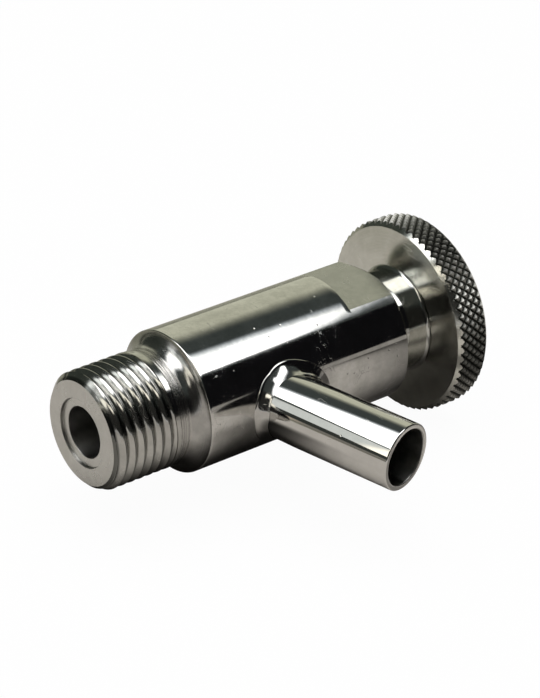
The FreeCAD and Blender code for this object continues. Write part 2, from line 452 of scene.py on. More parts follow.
def steelFinish(name, look):
    # bright steel with the lay of its last tool. The rings run round the axis that look["way"] gives through
    # look["through"], and painted shade darkens what lies deeper than the first of its two distances from
    # there
    finish, inputs, position = newFinish(name)
    wear = useEffect(handling, Position=position)
    lay = useEffect(toolLay, Position=position, Spacing=look["spacing"] * mm)
    tone = maths("MULTIPLY_ADD", lay["Tone"], wearLook["layShare"], maths(
        "MULTIPLY_ADD", wear["Smear"], wearLook["smearShare"],
        times(wear["Mottle"], wearLook["mottleShare"])))
    colour = tinted(tone, look["dark"], look["light"])
    away = vectors("SUBTRACT", position, tuple(value * mm for value in look["through"]))
    layWay = vectors("CROSS_PRODUCT", look["way"], away)
    # painted shade: the floors of the grooves are tinted darker, for the shade that falls in them
    if "grooveShade" in look:
        deep, shallow, grooveShadeTone = look["grooveShade"]
        unshaded = ranged(vectors("LENGTH", layWay), deep * mm, shallow * mm)
        colour = tinted(unshaded, grooveShadeTone, colour)
    feed(inputs["Base Color"], colour)
    feed(inputs["Metallic"], 1.0)
    low, high = look["roughness"]
    uneven = ranged(wear["Smear"], 0.0, 1.0, low, high, smooth=False)
    feed(inputs["Roughness"], add(
        uneven, times(wear["Scratch"], look["scratch"])))
    feed(inputs["Anisotropic"], look["drag"])
    feed(inputs["Anisotropic Rotation"], 0.25)
    feed(inputs["Tangent"], vectors("NORMALIZE", layWay))
    rings = bumped(lay["Height"], look["ringDepth"] * mm)
    scratches = times(wear["Scratch"], wearLook["scratchDepth"])
    nicks = add(scratches, wear["Nick"])
    feed(inputs["Normal"], bumped(nicks, -look["nickDepth"] * mm, normal=rings))
    return finish


# Each row gives dark and light tint, spacing of the lay, roughness, what a scratch adds to it, how far
# highlights are drawn out round the axis, depth of the lay and of the nicks, and for some a painted groove
# shade
steelParts = ("dark", "light", "spacing", "roughness", "scratch", "drag", "ringDepth", "nickDepth", "grooveShade")
steelRows = {
    "bodySteel": ((0.40, 0.395, 0.37), (0.64, 0.625, 0.60), 0.22, (0.05, 0.11), 0.2, 0.45, 0.0004, 0.03),
    "neckSteel": ((0.36, 0.35, 0.33), (0.54, 0.525, 0.50), 0.24, (0.14, 0.22), 0.15, 0.6, 0.17, 0.006),
    "coveSteel": ((0.28, 0.275, 0.26), (0.47, 0.46, 0.44), 0.30, (0.14, 0.22), 0.15, 0.6, 0.022, 0.008),
    # the steel inside the bores is tinted darker as painted shade inside the holes
    "boreShadeSteel": ((0.16, 0.16, 0.15), (0.30, 0.295, 0.28), 0.25, (0.30, 0.38), 0.1, 0.5, 0.01, 0.004),
    "flatSteel": ((0.32, 0.32, 0.30), (0.44, 0.435, 0.41), 0.30, (0.22, 0.30), 0.1, 0.2, 0.0006, 0.003),
    # the last entry is a painted shade in the thread's grooves: radius of full shade, radius where it ends,
    # and its tone
    "threadSteel": ((0.35, 0.345, 0.325), (0.54, 0.53, 0.50), 0.12, (0.12, 0.20), 0.2, 0.4, 0.001, 0.01,
                    (9.64, 9.90, (0.14, 0.14, 0.13))),
    "faceSteel": ((0.45, 0.445, 0.42), (0.57, 0.56, 0.53), 0.16, (0.26, 0.34), 0.1, 0.7, 0.006, 0.003),
    "knobSteel": ((0.48, 0.48, 0.435), (0.66, 0.65, 0.60), 0.16, (0.14, 0.20), 0.15, 0.9, 0.013, 0.004),
    "hubSteel": ((0.44, 0.437, 0.41), (0.54, 0.535, 0.505), 0.14, (0.05, 0.09), 0.15, 0.3, 0.0003, 0.004),
    # the last entry is a painted shade in the knurl's grooves: radius of full shade, radius where it ends,
    # and its tone
    "knurlSteel": ((0.26, 0.258, 0.24), (0.42, 0.415, 0.39), 0.5, (0.36, 0.48), 0.1, 0.0, 0.0006, 0.006,
                   (17.30, 17.72, (0.05, 0.052, 0.045))),
    "tubeSteel": ((0.52, 0.51, 0.485), (0.61, 0.595, 0.57), 0.4, (0.04, 0.08), 0.12, 0.2, 0.0003, 0.012),
    "weldSteel": ((0.36, 0.35, 0.33), (0.54, 0.53, 0.505), 0.5, (0.07, 0.13), 0.1, 0.0, 0.002, 0.02),
    "screwSteel": ((0.44, 0.44, 0.43), (0.55, 0.55, 0.54), 0.12, (0.22, 0.30), 0.2, 0.4, 0.001, 0.005),
}
bodyAxis = {"way": (1.0, 0.0, 0.0), "through": (0.0, 0.0, 0.0)}
spoutAxis = {"way": tuple(spoutWay), "through": (spoutX, 0.0, 0.0)}
onSpout = ("tubeSteel", "weldSteel")
steelLooks = {name: {**(spoutAxis if name in onSpout else bodyAxis), **dict(zip(steelParts, row))}
              for name, row in steelRows.items()}
finishes = {name: steelFinish(name, look) for name, look in steelLooks.items()}


def bronzeFinish():
    finish, inputs, position = newFinish("nutBronze")
    wear = useEffect(handling, Position=position)
    lay = useEffect(toolLay, Position=position, Spacing=0.15 * mm)
    tint = tinted(wear["Smear"], (0.52, 0.33, 0.15), (0.68, 0.46, 0.24))
    feed(inputs["Base Color"], tint)
    feed(inputs["Metallic"], 1.0)
    feed(inputs["Roughness"], ranged(lay["Tone"], 0.0, 1.0, 0.25, 0.42, smooth=False))
    feed(inputs["Normal"], bumped(lay["Height"], 0.002 * mm))
    return finish


def plasticFinish():
    finish, inputs, position = newFinish("whitePlastic")
    lay = useEffect(toolLay, Position=position, Spacing=0.2 * mm)
    tint = tinted(lay["Tone"], (0.80, 0.80, 0.77), (0.90, 0.90, 0.88))
    feed(inputs["Base Color"], tint)
    feed(inputs["Roughness"], ranged(lay["Tone"], 0.0, 1.0, 0.38, 0.55, smooth=False))
    feed(inputs["Normal"], bumped(lay["Height"], 0.003 * mm))
    feed(inputs["Subsurface Weight"], 0.1)
    feed(inputs["Subsurface Scale"], 0.5 * mm)
    return finish


def rubberFinish():
    finish, inputs, position = newFinish("sealRubber")
    speckle = grain(position, 2600.0, 3.0, 0.6)
    tint = tinted(speckle, (0.015, 0.015, 0.016), (0.045, 0.045, 0.047))
    feed(inputs["Base Color"], tint)
    feed(inputs["Roughness"], ranged(speckle, 0.2, 0.8, 0.42, 0.62, smooth=False))
    feed(inputs["Normal"], bumped(speckle, 0.004 * mm))
    return finish


finishes["nutBronze"] = bronzeFinish()
finishes["whitePlastic"] = plasticFinish()
finishes["sealRubber"] = rubberFinish()
print("finishes made")


# Inlet thread

threadSizes = {
    "pitch": 1.814,  # 14 turns to the inch
    "depth": 0.85,
    "crestAt": 0.66,  # of a turn, from a row's start
    "leanStart": 0.05,  # back from the crest; there its worn top starts to lean to the inlet
    "leanSlope": 0.70,
    "flankStart": 0.20,
    "flankSlope": 1.15,
    "backSlope": 1.40,
    "backEnd": 0.08,
    "cornerRound": 0.08,
    "leadChamfer": 1.2,
    "runOut": 1.5,  # the groove gets shallow over this length
    "runOutEnd": -0.1,  # and is gone from here on
    "neckRadius": 10.2,
    "rowsPerTurn": 30,
}
threadRadius = mountRadius("inlet_thread")
neckX = threadRadius - threadSizes["neckRadius"]

# the columns' step is chosen to meet the edges of the flats
flatShare = acos(halfFlats / bodyRadius) / (2 * pi)
bodyColumns = min(range(224, 280, 2), key=lambda count: abs(flatShare * count - round(flatShare * count)))


def threadTree(sizes):
    tree, given = shapeTree("inletThread", sizes)
    turns = over(less(given["End"], given["Start"]), given["Pitch"])
    rows = times(add(maths("CEIL", turns), 1.0), given["Rows per turn"])
    across = add(given["Columns"], 1.0)
    sheet = addNode(tree, "GeometryNodeMeshGrid")
    for socket, value in zip(sheet.inputs, (1.0, 1.0, add(rows, 1.0), across)):
        feed(socket, value)
    index = addNode(tree, "GeometryNodeInputIndex").outputs[0]
    row = maths("FLOOR", over(add(index, 0.5), across))
    turn = over(less(index, times(row, across)), given["Columns"])

    # each row follows the helix, and the two ends are cut square
    step = over(row, given["Rows per turn"])
    ride = times(add(less(step, 1.0), turn), given["Pitch"])
    x = maths("MAXIMUM", add(ride, given["Start"]), given["Start"])
    x = maths("MINIMUM", x, given["End"])

    # depth below the crest, by how far back towards the inlet the row lies from it
    back = times(maths("FRACT", add(less(given["Crest at"], step), 1.0)), given["Pitch"])
    leaning = times(less(back, given["Lean start"]), given["Lean slope"])
    flank = times(less(back, given["Flank start"]), given["Flank slope"])
    rear = times(less(less(given["Pitch"], given["Back end"]), back), given["Back slope"])
    soft = given["Corner round"]
    top = maths("SMOOTH_MAX", 0.0, leaning, soft)
    front = maths("SMOOTH_MAX", top, flank, soft)
    groove = maths("SMOOTH_MIN", front, maths("SMOOTH_MAX", 0.0, rear, soft), soft)
    groove = maths("SMOOTH_MIN", groove, given["Depth"], soft)

    # the tool leaves the groove bit by bit in the last turn, so the depth depends on how far it has run
    toolTurns = add(less(maths("ROUND", step), 1.0), turn)
    toolX = add(times(toolTurns, given["Pitch"]), given["Start"])
    fadeStart = less(given["Run out end"], given["Run out"])
    fade = ranged(toolX, fadeStart, given["Run out end"], 1.0, 0.0)
    slope = less(given["Radius"], maths("MAXIMUM", x, 0.0))
    blank = maths("MAXIMUM", slope, given["Neck radius"])
    cut = maths("MINIMUM", less(given["Radius"], times(groove, fade)), blank)
    lead = add(less(given["Radius"], given["Lead chamfer"]), less(x, given["Start"]))
    place = rolled(x, maths("MINIMUM", cut, lead), turn)
    endShapeTree(sheet.outputs["Mesh"], place, given["Finish"])
    return tree


def makeThreadSkin():
    ends = {"start": inletX, "end": neckX, "radius": threadRadius, "columns": bodyColumns}
    plain = ("crestAt", "leanSlope", "flankSlope", "backSlope", "rowsPerTurn", "columns")
    sizes = treeInputs({**threadSizes, **ends}, plain)
    return shapedPiece("threadSkin", threadTree(sizes), sizes, finishes["threadSteel"])


# Valve body

bodySizes = {
    "neckStart": 0.2,
    "coveStart": 2.3,
    "shoulderLength": 4.6,
    "shoulderSlope": 75.0,  # of the cove, where it meets the rim
    "shoulderEdge": 0.2,
    "flatsLength": 11.1,
    "flatsEdge": 0.16,
    "rearChamferLength": 1.75,
    "rearChamferDepth": 2.05,
    "counterboreRadius": 9.3,
    "counterboreDepth": 14.8,
    "guideRadius": 6.5,
    "seatX": 10.5,
    "recessRadius": 6.15,
    "recessDepth": 0.55,
    "counterboreRound": 0.25,
    "boreRound": 0.12,
    "recessRound": 0.15,
    "faceRound": 0.1,
    "neckRow": 0.25,  # distances between rows of points
    "barrelRow": 0.8,
    "chamferRow": 0.09,
    "coveTurn": 2.5,
    "rimTurn": 12,
    "rimStart": 15,
    "barrelGap": 0.6,  # from the shoulder to the barrel's first row
    "stepRows": (0.7, 0.45, 0.25, 0.1, 0.02, 0.001, 0.0),  # shares of the flats' edge ahead of its step
}
flatsStart = bodyRear - bodySizes["flatsLength"]


def shoulderCurve():
    # neck, cove up to the shoulder's rim, and the rounded rim
    size = bodySizes
    neck = threadSizes["neckRadius"]
    endSlope = radians(size["shoulderSlope"])
    radius = (bodyRadius - size["shoulderEdge"] - neck) / (1 - cos(endSlope))
    start = size["shoulderLength"] - radius * sin(endSlope)
    neckRows = [(x, neck) for x in evenly(neckX, start, size["neckRow"])[:-1]]
    cove = [(start + radius * sin(slope), neck + radius * (1 - cos(slope)))
            for slope in evenly(0, endSlope, radians(size["coveTurn"]))]
    edge = size["shoulderEdge"]
    rim = [(size["shoulderLength"] + edge * (1 - cos(turn)), bodyRadius - edge * (1 - sin(turn)))
           for turn in evenly(radians(size["rimStart"]), radians(90), radians(size["rimTurn"]))]
    return neckRows + cove + rim


def pressFlats(point):
    # the two flats, and the rounded edge of the step where they start
    edge = bodySizes["flatsEdge"]
    past = point.x - (flatsStart - edge)
    if past <= 0 or abs(point.z) <= halfFlats:
        return point
    if past < edge * 0.9999:
        drop = edge - sqrt(edge * edge - past * past)
        return Vector((point.x, point.y * (1 - drop / bodyRadius), point.z * (1 - drop / bodyRadius)))
    return Vector((point.x, point.y, copysign(halfFlats, point.z)))


def bodyPath():
    size = bodySizes
    chamferStart = bodyRear - size["rearChamferLength"]
    boreRadius = mountRadius("inlet_bore")
    seatEnd = size["seatX"] + size["guideRadius"] - boreRadius
    shelf = bodyRear - size["counterboreDepth"]
    recessFloor = inletX + size["recessDepth"]
    edge = size["flatsEdge"]
    barrelStart = size["shoulderLength"] + size["barrelGap"]
    barrel = [(x, bodyRadius) for x in evenly(barrelStart, flatsStart - edge, size["barrelRow"])]
    stepRows = [(flatsStart - edge * share, bodyRadius) for share in size["stepRows"]]
    chamfer = [(x, bodyRadius - size["rearChamferDepth"] * (x - chamferStart) / size["rearChamferLength"])
               for x in evenly(chamferStart, bodyRear, size["chamferRow"])]
    inside = [
        (bodyRear, size["counterboreRadius"], size["counterboreRound"]),
        (shelf, size["counterboreRadius"]),
        (shelf, size["guideRadius"]),
        (seatEnd, size["guideRadius"]),
        (size["seatX"], boreRadius),
        (recessFloor, boreRadius, size["boreRound"]),
        (recessFloor, size["recessRadius"], size["recessRound"]),
        (inletX, size["recessRadius"], size["faceRound"]),
        (inletX, threadRadius - threadSizes["leadChamfer"]),
    ]
    return shoulderCurve() + barrel + stepRows + [(flatsStart + 0.01, bodyRadius)] + chamfer + inside


spoutSizes = {
    "wall": 1.0,
    "innerEnd": 9.0,  # along the tube's axis, from the body's
    "root": 17.35,  # from here inwards the tube narrows by the taper
    "taper": 0.2,
    "tipSpare": 0.25,  # of the tip beyond the outlet mount's end
    "tipRound": 0.28,
    "columns": 192,
    "portRadius": 4.5,
    "socketGap": 0.02,
    "socketTaper": 0.18,
    "cutterEnd": 20,
    "cutterColumns": 96,
}


def spoutCutter():
    # room for the outlet tube and the port behind it
    size = spoutSizes
    port, floor, end = size["portRadius"], size["innerEnd"], size["cutterEnd"]
    socket = spoutRadius + size["socketGap"]
    path = [(0, 0), (0, port), (floor, port), (floor, spoutRadius - size["socketTaper"]),
            (size["root"], socket), (end, socket), (end, 0)]
    mesh = turnedMesh("spoutCutter", path, size["cutterColumns"], place=spoutPlace)
    tidyMesh(mesh)
    return newPiece("spoutCutter", mesh)


def makeBody():
    skin = makeThreadSkin()
    rest = turnedMesh("bodyRest", roundedPath(bodyPath()), bodyColumns, closed=False, shape=pressFlats)
    mesh = joinedMesh("tapBody", [skin.data, rest])
    bpy.data.objects.remove(skin)
    tidyMesh(mesh)
    piece = newPiece("tapBody", mesh)
    cutPiece(piece, spoutCutter())

    def finishOf(face, x, radius):
        inwards = face.normal.dot(Vector((0, *face.center.yz))) < 0
        if abs(face.normal.x) > 0.97 and x < inletX + 1:
            return "faceSteel"
        if x > flatsStart and abs(face.normal.z) > 0.999 and radius > halfFlats * 0.99:
            return "flatSteel"
        # inner faces of the bores get the steel with painted shade
        if radius < bodySizes["counterboreRadius"] + 0.3 and inwards:
            return "boreShadeSteel"
        if x < bodySizes["neckStart"]:
            return "threadSteel"
        if x < bodySizes["coveStart"]:
            return "neckSteel"
        return "coveSteel" if x < bodySizes["shoulderLength"] else "bodySteel"

    dressFaces(piece, finishOf)
    finishPiece(piece, "tap_body", "body_steel", "valve_body")


makeBody()


# Outlet tube

def makeSpout():
    bore = spoutRadius - spoutSizes["wall"]
    tip = spoutReach + spoutSizes["tipSpare"]
    corners = [
        (spoutSizes["innerEnd"], bore),
        (spoutSizes["innerEnd"], spoutRadius - spoutSizes["taper"]),
        (spoutSizes["root"], spoutRadius),
        (tip, spoutRadius, spoutSizes["tipRound"]),
        (tip, bore, spoutSizes["tipRound"]),
    ]
    mesh = turnedMesh("outletTube", roundedPath(corners), spoutSizes["columns"], place=spoutPlace)
    piece = newPiece("outletTube", mesh)
    foot = Vector((spoutX, 0, 0))

    def finishOf(face, *_):
        away = face.center / mm - foot
        # the tube's bore gets the steel with painted shade
        return "boreShadeSteel" if away.cross(spoutWay).length < bore + 0.1 else "tubeSteel"

    dressFaces(piece, finishOf)
    finishPiece(piece, "tap_body", "tube_steel", "outlet_spout")


makeSpout()


# Weld bead

weldSizes = {
    "tubeLeg": 1.9,  # reach of the bead along the tube
    "bodyLeg": 1.3,  # and over the body, where it passes over the top
    "lean": 1.2,  # how much more it is on the knob's side, and less on the inlet's side
    "leastLeg": 0.9,
    "fullness": 0.45,  # how far the hollow is filled, as a share
    "lip": 0.16,  # the bead's rounded edge stands this far above the body
    "sink": 0.04,
    "rounds": 360,
    "arcSteps": 14,
    "lipSteps": 5,
    "ripple": 0.012,
    "rippleCount": 13,
    "rippleSway": 3.5,
    "rippleLeast": 0.3,  # of the ripple, on the lower side
    "swell": 0.12,  # share by which the legs vary round the tube
    "swellPace": 2.2,
}


def spoutRayEnd(angle, fromTube, fromBody):
    # the point at this angle round the tube that is so far from the tube's axis and from the body's axis
    outward = Vector((-spoutWay.y, spoutWay.x, 0)) * cos(angle) + Vector((0, 0, 1)) * sin(angle)
    across = sqrt(fromBody ** 2 - (fromTube * outward.z) ** 2)
    reach = (-across - fromTube * outward.y) / spoutWay.y
    return Vector((spoutX, 0, 0)) + spoutWay * reach + outward * fromTube, outward


def beadSection(angle):
    # hollow curve from the tube down to the body, bent round the corner between them
    size = weldSizes
    sway = noise.noise(Vector((cos(angle), sin(angle), 0.3)) * size["swellPace"])
    leg = max(size["leastLeg"], size["bodyLeg"] + size["lean"] * cos(angle))
    swell = 1 + size["swell"] * sway
    corner, outward = spoutRayEnd(angle, spoutRadius, bodyRadius)
    onTube = corner + spoutWay * size["tubeLeg"] * swell - outward * size["sink"]
    edge = spoutRadius + leg * swell
    onBody, _ = spoutRayEnd(angle, edge, bodyRadius + size["lip"])
    bend = corner.lerp((onTube + onBody) / 2, size["fullness"])
    wave = sin(size["rippleCount"] * angle + size["rippleSway"] * sway)
    wave *= size["rippleLeast"] + max(0.0, sin(angle))
    section = []
    for step in range(size["arcSteps"] + 1):
        share = step / size["arcSteps"]
        lift = size["ripple"] * wave * sin(pi * share) ** 2
        point = onTube * (1 - share) ** 2 + bend * 2 * share * (1 - share) + onBody * share ** 2
        section.append(point + (outward + spoutWay).normalized() * lift)
    height = size["lip"] + size["sink"]
    for turn in evenly(0, radians(90), radians(90) / size["lipSteps"])[1:]:
        point, _ = spoutRayEnd(angle, edge + size["lip"] * sin(turn),
                               bodyRadius - size["sink"] + height * cos(turn))
        section.append(point)
    inner, _ = spoutRayEnd(angle, spoutRadius - size["sink"], bodyRadius - size["sink"])
    return section + [inner]


def makeWeld():
    rounds = weldSizes["rounds"]
    sections = [beadSection(2 * pi * turn / rounds) for turn in range(rounds)]
    points = [point * mm for section in sections for point in section]
    mesh = newMesh("weldBead", points, ringFaces(rounds, len(sections[0])))
    mesh.materials.append(finishes["weldSteel"])
    finishPiece(newPiece("weldBead", mesh), "tap_body", "weld_steel", "spout_weld")


makeWeld()


# Knob

knobSizes = {
    "standOff": 6.1,  # from the body's rear face to the knob's front face
    "chamfer": 0.9,
    "hubRadius": 9.2,
    "hubFillet": 0.75,
    "edgeRound": 0.25,
    "lipRound": 0.08,
    "pocketRound": 0.2,
    "sealGroove": (0.8, 1.8, 1.2),  # from the hub's front, width and depth
    "journalRadius": 5.02,
    "journalLength": 13.5,
    "screwHole": 2.55,
    "pocketRadius": 5.2,
    "pocketDepth": 4.4,
    "pinX": 4.3,
    "pinRadius": 1.25,
    "pinReach": 20,  # of the pin hole's cutter, each way
    "pinColumns": 48,
    "columns": 280,
}
knurlSizes = {
    "around": 63,
    "pitchAlong": 1.85,
    "depth": 0.55,
    "tipShare": 0.22,
    "rows": 5,
    "reachOut": 80.0,  # the drum's ends run to points on the axis this far out
}
knobFace = bodyRear + knobSizes["standOff"]


def knobPath():
    size = knobSizes
    front = knobLow.x
    rear = knobHigh.x
    hub = size["hubRadius"]
    grooveStart = front + size["sealGroove"][0]
    grooveEnd = grooveStart + size["sealGroove"][1]
    grooveFloor = hub - size["sealGroove"][2]
    pocketFloor = rear - size["pocketDepth"]
    journalEnd = front + size["journalLength"]
    return [
        (front, hub, size["edgeRound"]),
        (grooveStart, hub, size["lipRound"]),
        (grooveStart, grooveFloor),
        (grooveEnd, grooveFloor),
        (grooveEnd, hub, size["lipRound"]),
        (knobFace, hub, size["hubFillet"]),
        (knobFace, knobRadius - size["chamfer"], size["lipRound"]),
        (knobFace + size["chamfer"], knobRadius),
        (rear - size["chamfer"], knobRadius),
        (rear, knobRadius - size["chamfer"], size["lipRound"]),
        (rear, size["pocketRadius"], size["edgeRound"]),
        (pocketFloor, size["pocketRadius"], size["pocketRound"]),
        (pocketFloor, size["screwHole"]),
        (journalEnd, size["screwHole"]),
        (journalEnd, size["journalRadius"]),
        (front, size["journalRadius"], size["edgeRound"]),
    ]


def knurlTree(sizes):
    # one raised diamond, laid out in half-offset rows, merged into a sheet and rolled into a drum
    tree, given = shapeTree("knurlDrum", sizes)
    cell = addNode(tree, "GeometryNodeMeshCircle", fill_type="NGON")
    feed(cell.inputs["Vertices"], 4)
    feed(cell.inputs["Radius"], 0.5)
    lift = addNode(tree, "GeometryNodeExtrudeMesh")
    feed(lift.inputs["Mesh"], cell.outputs[0])
    feed(lift.inputs["Offset Scale"], 1.0)
    shrink = addNode(tree, "GeometryNodeScaleElements", domain="FACE")
    feed(shrink.inputs["Geometry"], lift.outputs["Mesh"])
    feed(shrink.inputs["Selection"], lift.outputs["Top"])
    feed(shrink.inputs["Scale"], given["Tip share"])

    # cell centres, one unit apart around and half a unit apart along, every other row moved half a unit
    halfRows = add(times(given["Rows"], 2.0), 1.0)
    dots = addNode(tree, "GeometryNodePoints")
    feed(dots.inputs["Count"], times(given["Around"], halfRows))
    index = addNode(tree, "GeometryNodeInputIndex").outputs[0]
    line = maths("FLOOR", over(add(index, 0.5), given["Around"]))
    place = less(index, times(line, given["Around"]))
    u = add(place, times(maths("MODULO", line, 2.0), 0.5))
    v = times(less(line, given["Rows"]), 0.5)
    feed(dots.inputs["Position"], together(u, v, 0.0))
    lay = addNode(tree, "GeometryNodeInstanceOnPoints")
    feed(lay.inputs["Points"], dots.outputs[0])
    feed(lay.inputs["Instance"], shrink.outputs[0])
    flat = addNode(tree, "GeometryNodeRealizeInstances")
    feed(flat.inputs[0], lay.outputs[0])

    # the outermost corners close on the axis, far out, so that the drum is a solid
    x, y, z = parts(addNode(tree, "GeometryNodeInputPosition").outputs[0])
    lastRow = less(times(given["Rows"], 0.5), 0.25)
    outer = maths("GREATER_THAN", maths("ABSOLUTE", y), lastRow)
    stay = less(1.0, outer)
    radius = times(add(given["Tip radius"], times(less(z, 1.0), given["Depth"])), stay)
    farOut = times(times(maths("SIGN", y), outer), given["Reach out"])
    along = add(add(times(times(y, given["Pitch along"]), stay), farOut), given["Middle"])
    drum = rolled(along, radius, over(x, given["Around"]))
    endShapeTree(flat.outputs[0], drum, given["Finish"])
    return tree


def makeKnurlDrum():
    lengths = {"tipRadius": knobRadius, "middle": (knobFace + knobHigh.x) / 2}
    sizes = treeInputs({**knurlSizes, **lengths}, ("around", "rows", "tipShare"))
    drum = shapedPiece("knurlDrum", knurlTree(sizes), sizes, finishes["knobSteel"])
    tidyMesh(drum.data)
    return drum


def pinCutter():
    size = knobSizes
    end, radius = size["pinReach"], size["pinRadius"]
    path = [(-end, 0), (-end, radius), (end, radius), (end, 0)]
    upright = Matrix.Translation(Vector((knobLow.x + size["pinX"], 0, 0)) * mm) @ Matrix.Rotation(
        radians(90), 4, "Y")
    mesh = turnedMesh("pinCutter", path, size["pinColumns"], place=upright)
    tidyMesh(mesh)
    return newPiece("pinCutter", mesh)


def makeKnob():
    mesh = turnedMesh("knurledKnob", roundedPath(knobPath()), knobSizes["columns"])
    tidyMesh(mesh)
    piece = newPiece("knurledKnob", mesh)
    cutPiece(piece, makeKnurlDrum(), "INTERSECT")
    cutPiece(piece, pinCutter())

    def finishOf(side, x, radius):
        if x < knobFace - 0.01 or radius < knobSizes["hubRadius"] - 0.5:
            return "hubSteel"
        inwards = min(x - knobFace, knobHigh.x - x)
        onChamfer = abs(radius - (knobRadius - knobSizes["chamfer"] + inwards)) < 0.02
        return "knobSteel" if onChamfer or abs(side.normal.x) > 0.95 else "knurlSteel"

    dressFaces(piece, finishOf)
    finishPiece(piece, "knob_and_spindle", "knob_steel", "knob")


makeKnob()


# Knob screw

screwSizes = {"headRadius": 4.25, "headLength": 3.0, "shankRadius": 2.48, "hexAcross": 4.0, "hexDepth": 2.0,
              "edgeRound": 0.35, "underRound": 0.1, "socketEdge": 0.25, "columns": 96}


def hexCutter(face):
    mesh = bpy.data.meshes.new("hexCutter")
    corner = screwSizes["hexAcross"] / sqrt(3) * mm
    work = bmesh.new()
    bmesh.ops.create_cone(
        work, cap_ends=True, segments=6, radius1=corner, radius2=corner,
        depth=2 * screwSizes["hexDepth"] * mm,
        matrix=Matrix.Translation((face * mm, 0, 0)) @ Matrix.Rotation(radians(90), 4, "Y"))
    work.to_mesh(mesh)
    work.free()
    return newPiece("hexCutter", mesh)


def makeScrew():
    size = screwSizes
    low, high = nodeEnds("knob_screw")
    under = high.x - size["headLength"]
    socket = size["hexAcross"] / sqrt(3) + size["socketEdge"]
    corners = [
        (low.x, 0),
        (low.x, size["shankRadius"]),
        (under, size["shankRadius"]),
        (under, size["headRadius"], size["underRound"]),
        (high.x, size["headRadius"], size["edgeRound"]),
        (high.x, socket),
        (high.x - size["socketEdge"], socket - size["socketEdge"]),
        (high.x - size["socketEdge"], 0),
    ]
    mesh = turnedMesh("capScrew", roundedPath(corners), size["columns"])
    tidyMesh(mesh)
    mesh.materials.append(finishes["screwSteel"])
    piece = newPiece("capScrew", mesh)
    cutPiece(piece, hexCutter(high.x))
    finishPiece(piece, "knob_and_spindle", "screw_steel", "knob_screw")


makeScrew()


# The other pieces keep their CAD shape

carriedOver = {
    "gland_nut": "nutBronze", "thrust_washer": "whitePlastic", "seat_plug": "whitePlastic",
    "plug_screw": "screwSteel", "spindle": "bodySteel", "front_o_ring": "sealRubber",
    "rear_o_ring": "sealRubber", "hub_seal": "sealRubber", "drive_pin": "screwSteel",
    "knob_washer": "screwSteel",
}
for node, finish in carriedOver.items():
    held = frame["nodes"][node].data.materials
    held.clear()
    held.append(finishes[finish])
print("pieces made")


# Stage

stageLook = {
    "floorZ": -knobRadius - 0.05,
    "floorReach": 4.0,  # m, each way
    "floorGlow": 0.965,  # share of plain white in the floor, so that the shadow stays faint
    "ambient": 0.35,
    "lampPower": 9.0,  # W
    "lampSize": 1.1,  # m
    "lampPlace": (-0.05, 0.05, 0.90),
}

# The bench top that the steel mirrors from below, its tone darkened by a painted shadow of the tap. Pairs
# are the x or y over which something changes.
benchLook = {
    "lift": 0.02,  # above the floor
    "reach": 3.0,  # m, each way
    "tone": (0.62, 0.59, 0.55),
    "backTone": (0.345, 0.345, 0.275),
    "backEdge": (50, 75),  # y from which the bench behind the tap has its own tone
    "speckleScale": 60.0,
    "speckle": 0.16,
    "speckleLeast": 0.92,
    "shadeFrom": -5.0,  # along the tap, where its shade starts
    "shadeStart": 3.0,  # darkest up to this distance from the tap's axis
    "shadeEnd": 27.0,
    "shadeFloor": 0.08,
    "knobShadeFloor": 0.42,
    "knobFloorEdge": (30, 42),
    "knobReach": 1.8,  # the knob's shade reaches this much further
    "knobReachEdge": (56, 68),
    "slant": 0.66,  # the shades of tube and knob lean back by this for each mm from the tap
    "tubeEdge": (1, 10),
    "tubeEndEdge": (21, 27),
    "tubeShare": 0.42,  # how much light is left where the outlet tube and the knob stand in it
    "knobEdge": (26, 56),
    "knobShare": 0.20,
    "frontEdge": (-2, -10),
}

# Upright cards that the steel mirrors: the window that each fills, in degrees seen from the tap, at a
# distance in m. Azimuth runs from +X towards +Y. The sides and the top fade out over the soft degrees.
# Each row is distance, azimuth, elevation, tone and soft.
footFade = 0.001  # m
walls = {
    "frontBlack": (0.55, (-104, 14), (4.5, 44.0), (0.007, 0.007, 0.008), (1, 1)),
    "frontLow": (1.5, (-106, 16), (-1, 9), (0.42, 0.40, 0.375), (1, 1)),
    "cameraHigh": (0.9, (184, 222), (37, 60), (2.3, 2.2, 1.95), (4, 3)),
    "cameraSide": (0.95, (185, 262), (2, 62), (0.03, 0.03, 0.028), (6, 4)),
    "leftPanel": (1.1, (150, 178), (16, 37.4), (0.95, 1.00, 0.98), (7, 0.5)),
    "leftCream": (1.05, (171, 187), (15, 38), (2.20, 2.12, 1.88), (3, 3)),
    "leftHigh": (1.12, (132, 154), (25, 37.4), (2.0, 2.1, 2.1), (6, 0.5)),
    "leftDark": (1.15, (146, 188), (6, 60), (0.05, 0.055, 0.05), (4, 4)),
    "leftWarm": (1.2, (147, 167), (0.5, 7), (0.90, 0.76, 0.60), (6, 2)),
    "leftLine": (1.25, (118, 190), (-1, 7), (0.26, 0.25, 0.22), (5, 1)),
    "backLow": (0.16, (74, 140), (-6.3, -0.4), (0.05, 0.055, 0.05), (5, 1)),
    "backDark": (1.05, (73, 142), (-1, 60), (0.055, 0.065, 0.055), (9, 4)),
    "backOlive": (1.4, (-2, 84), (-16, 58), (0.74, 0.75, 0.60), (4, 4)),
    "rightDim": (1.6, (-60, 30), (-1, 60), (0.30, 0.30, 0.29), (4, 4)),
}

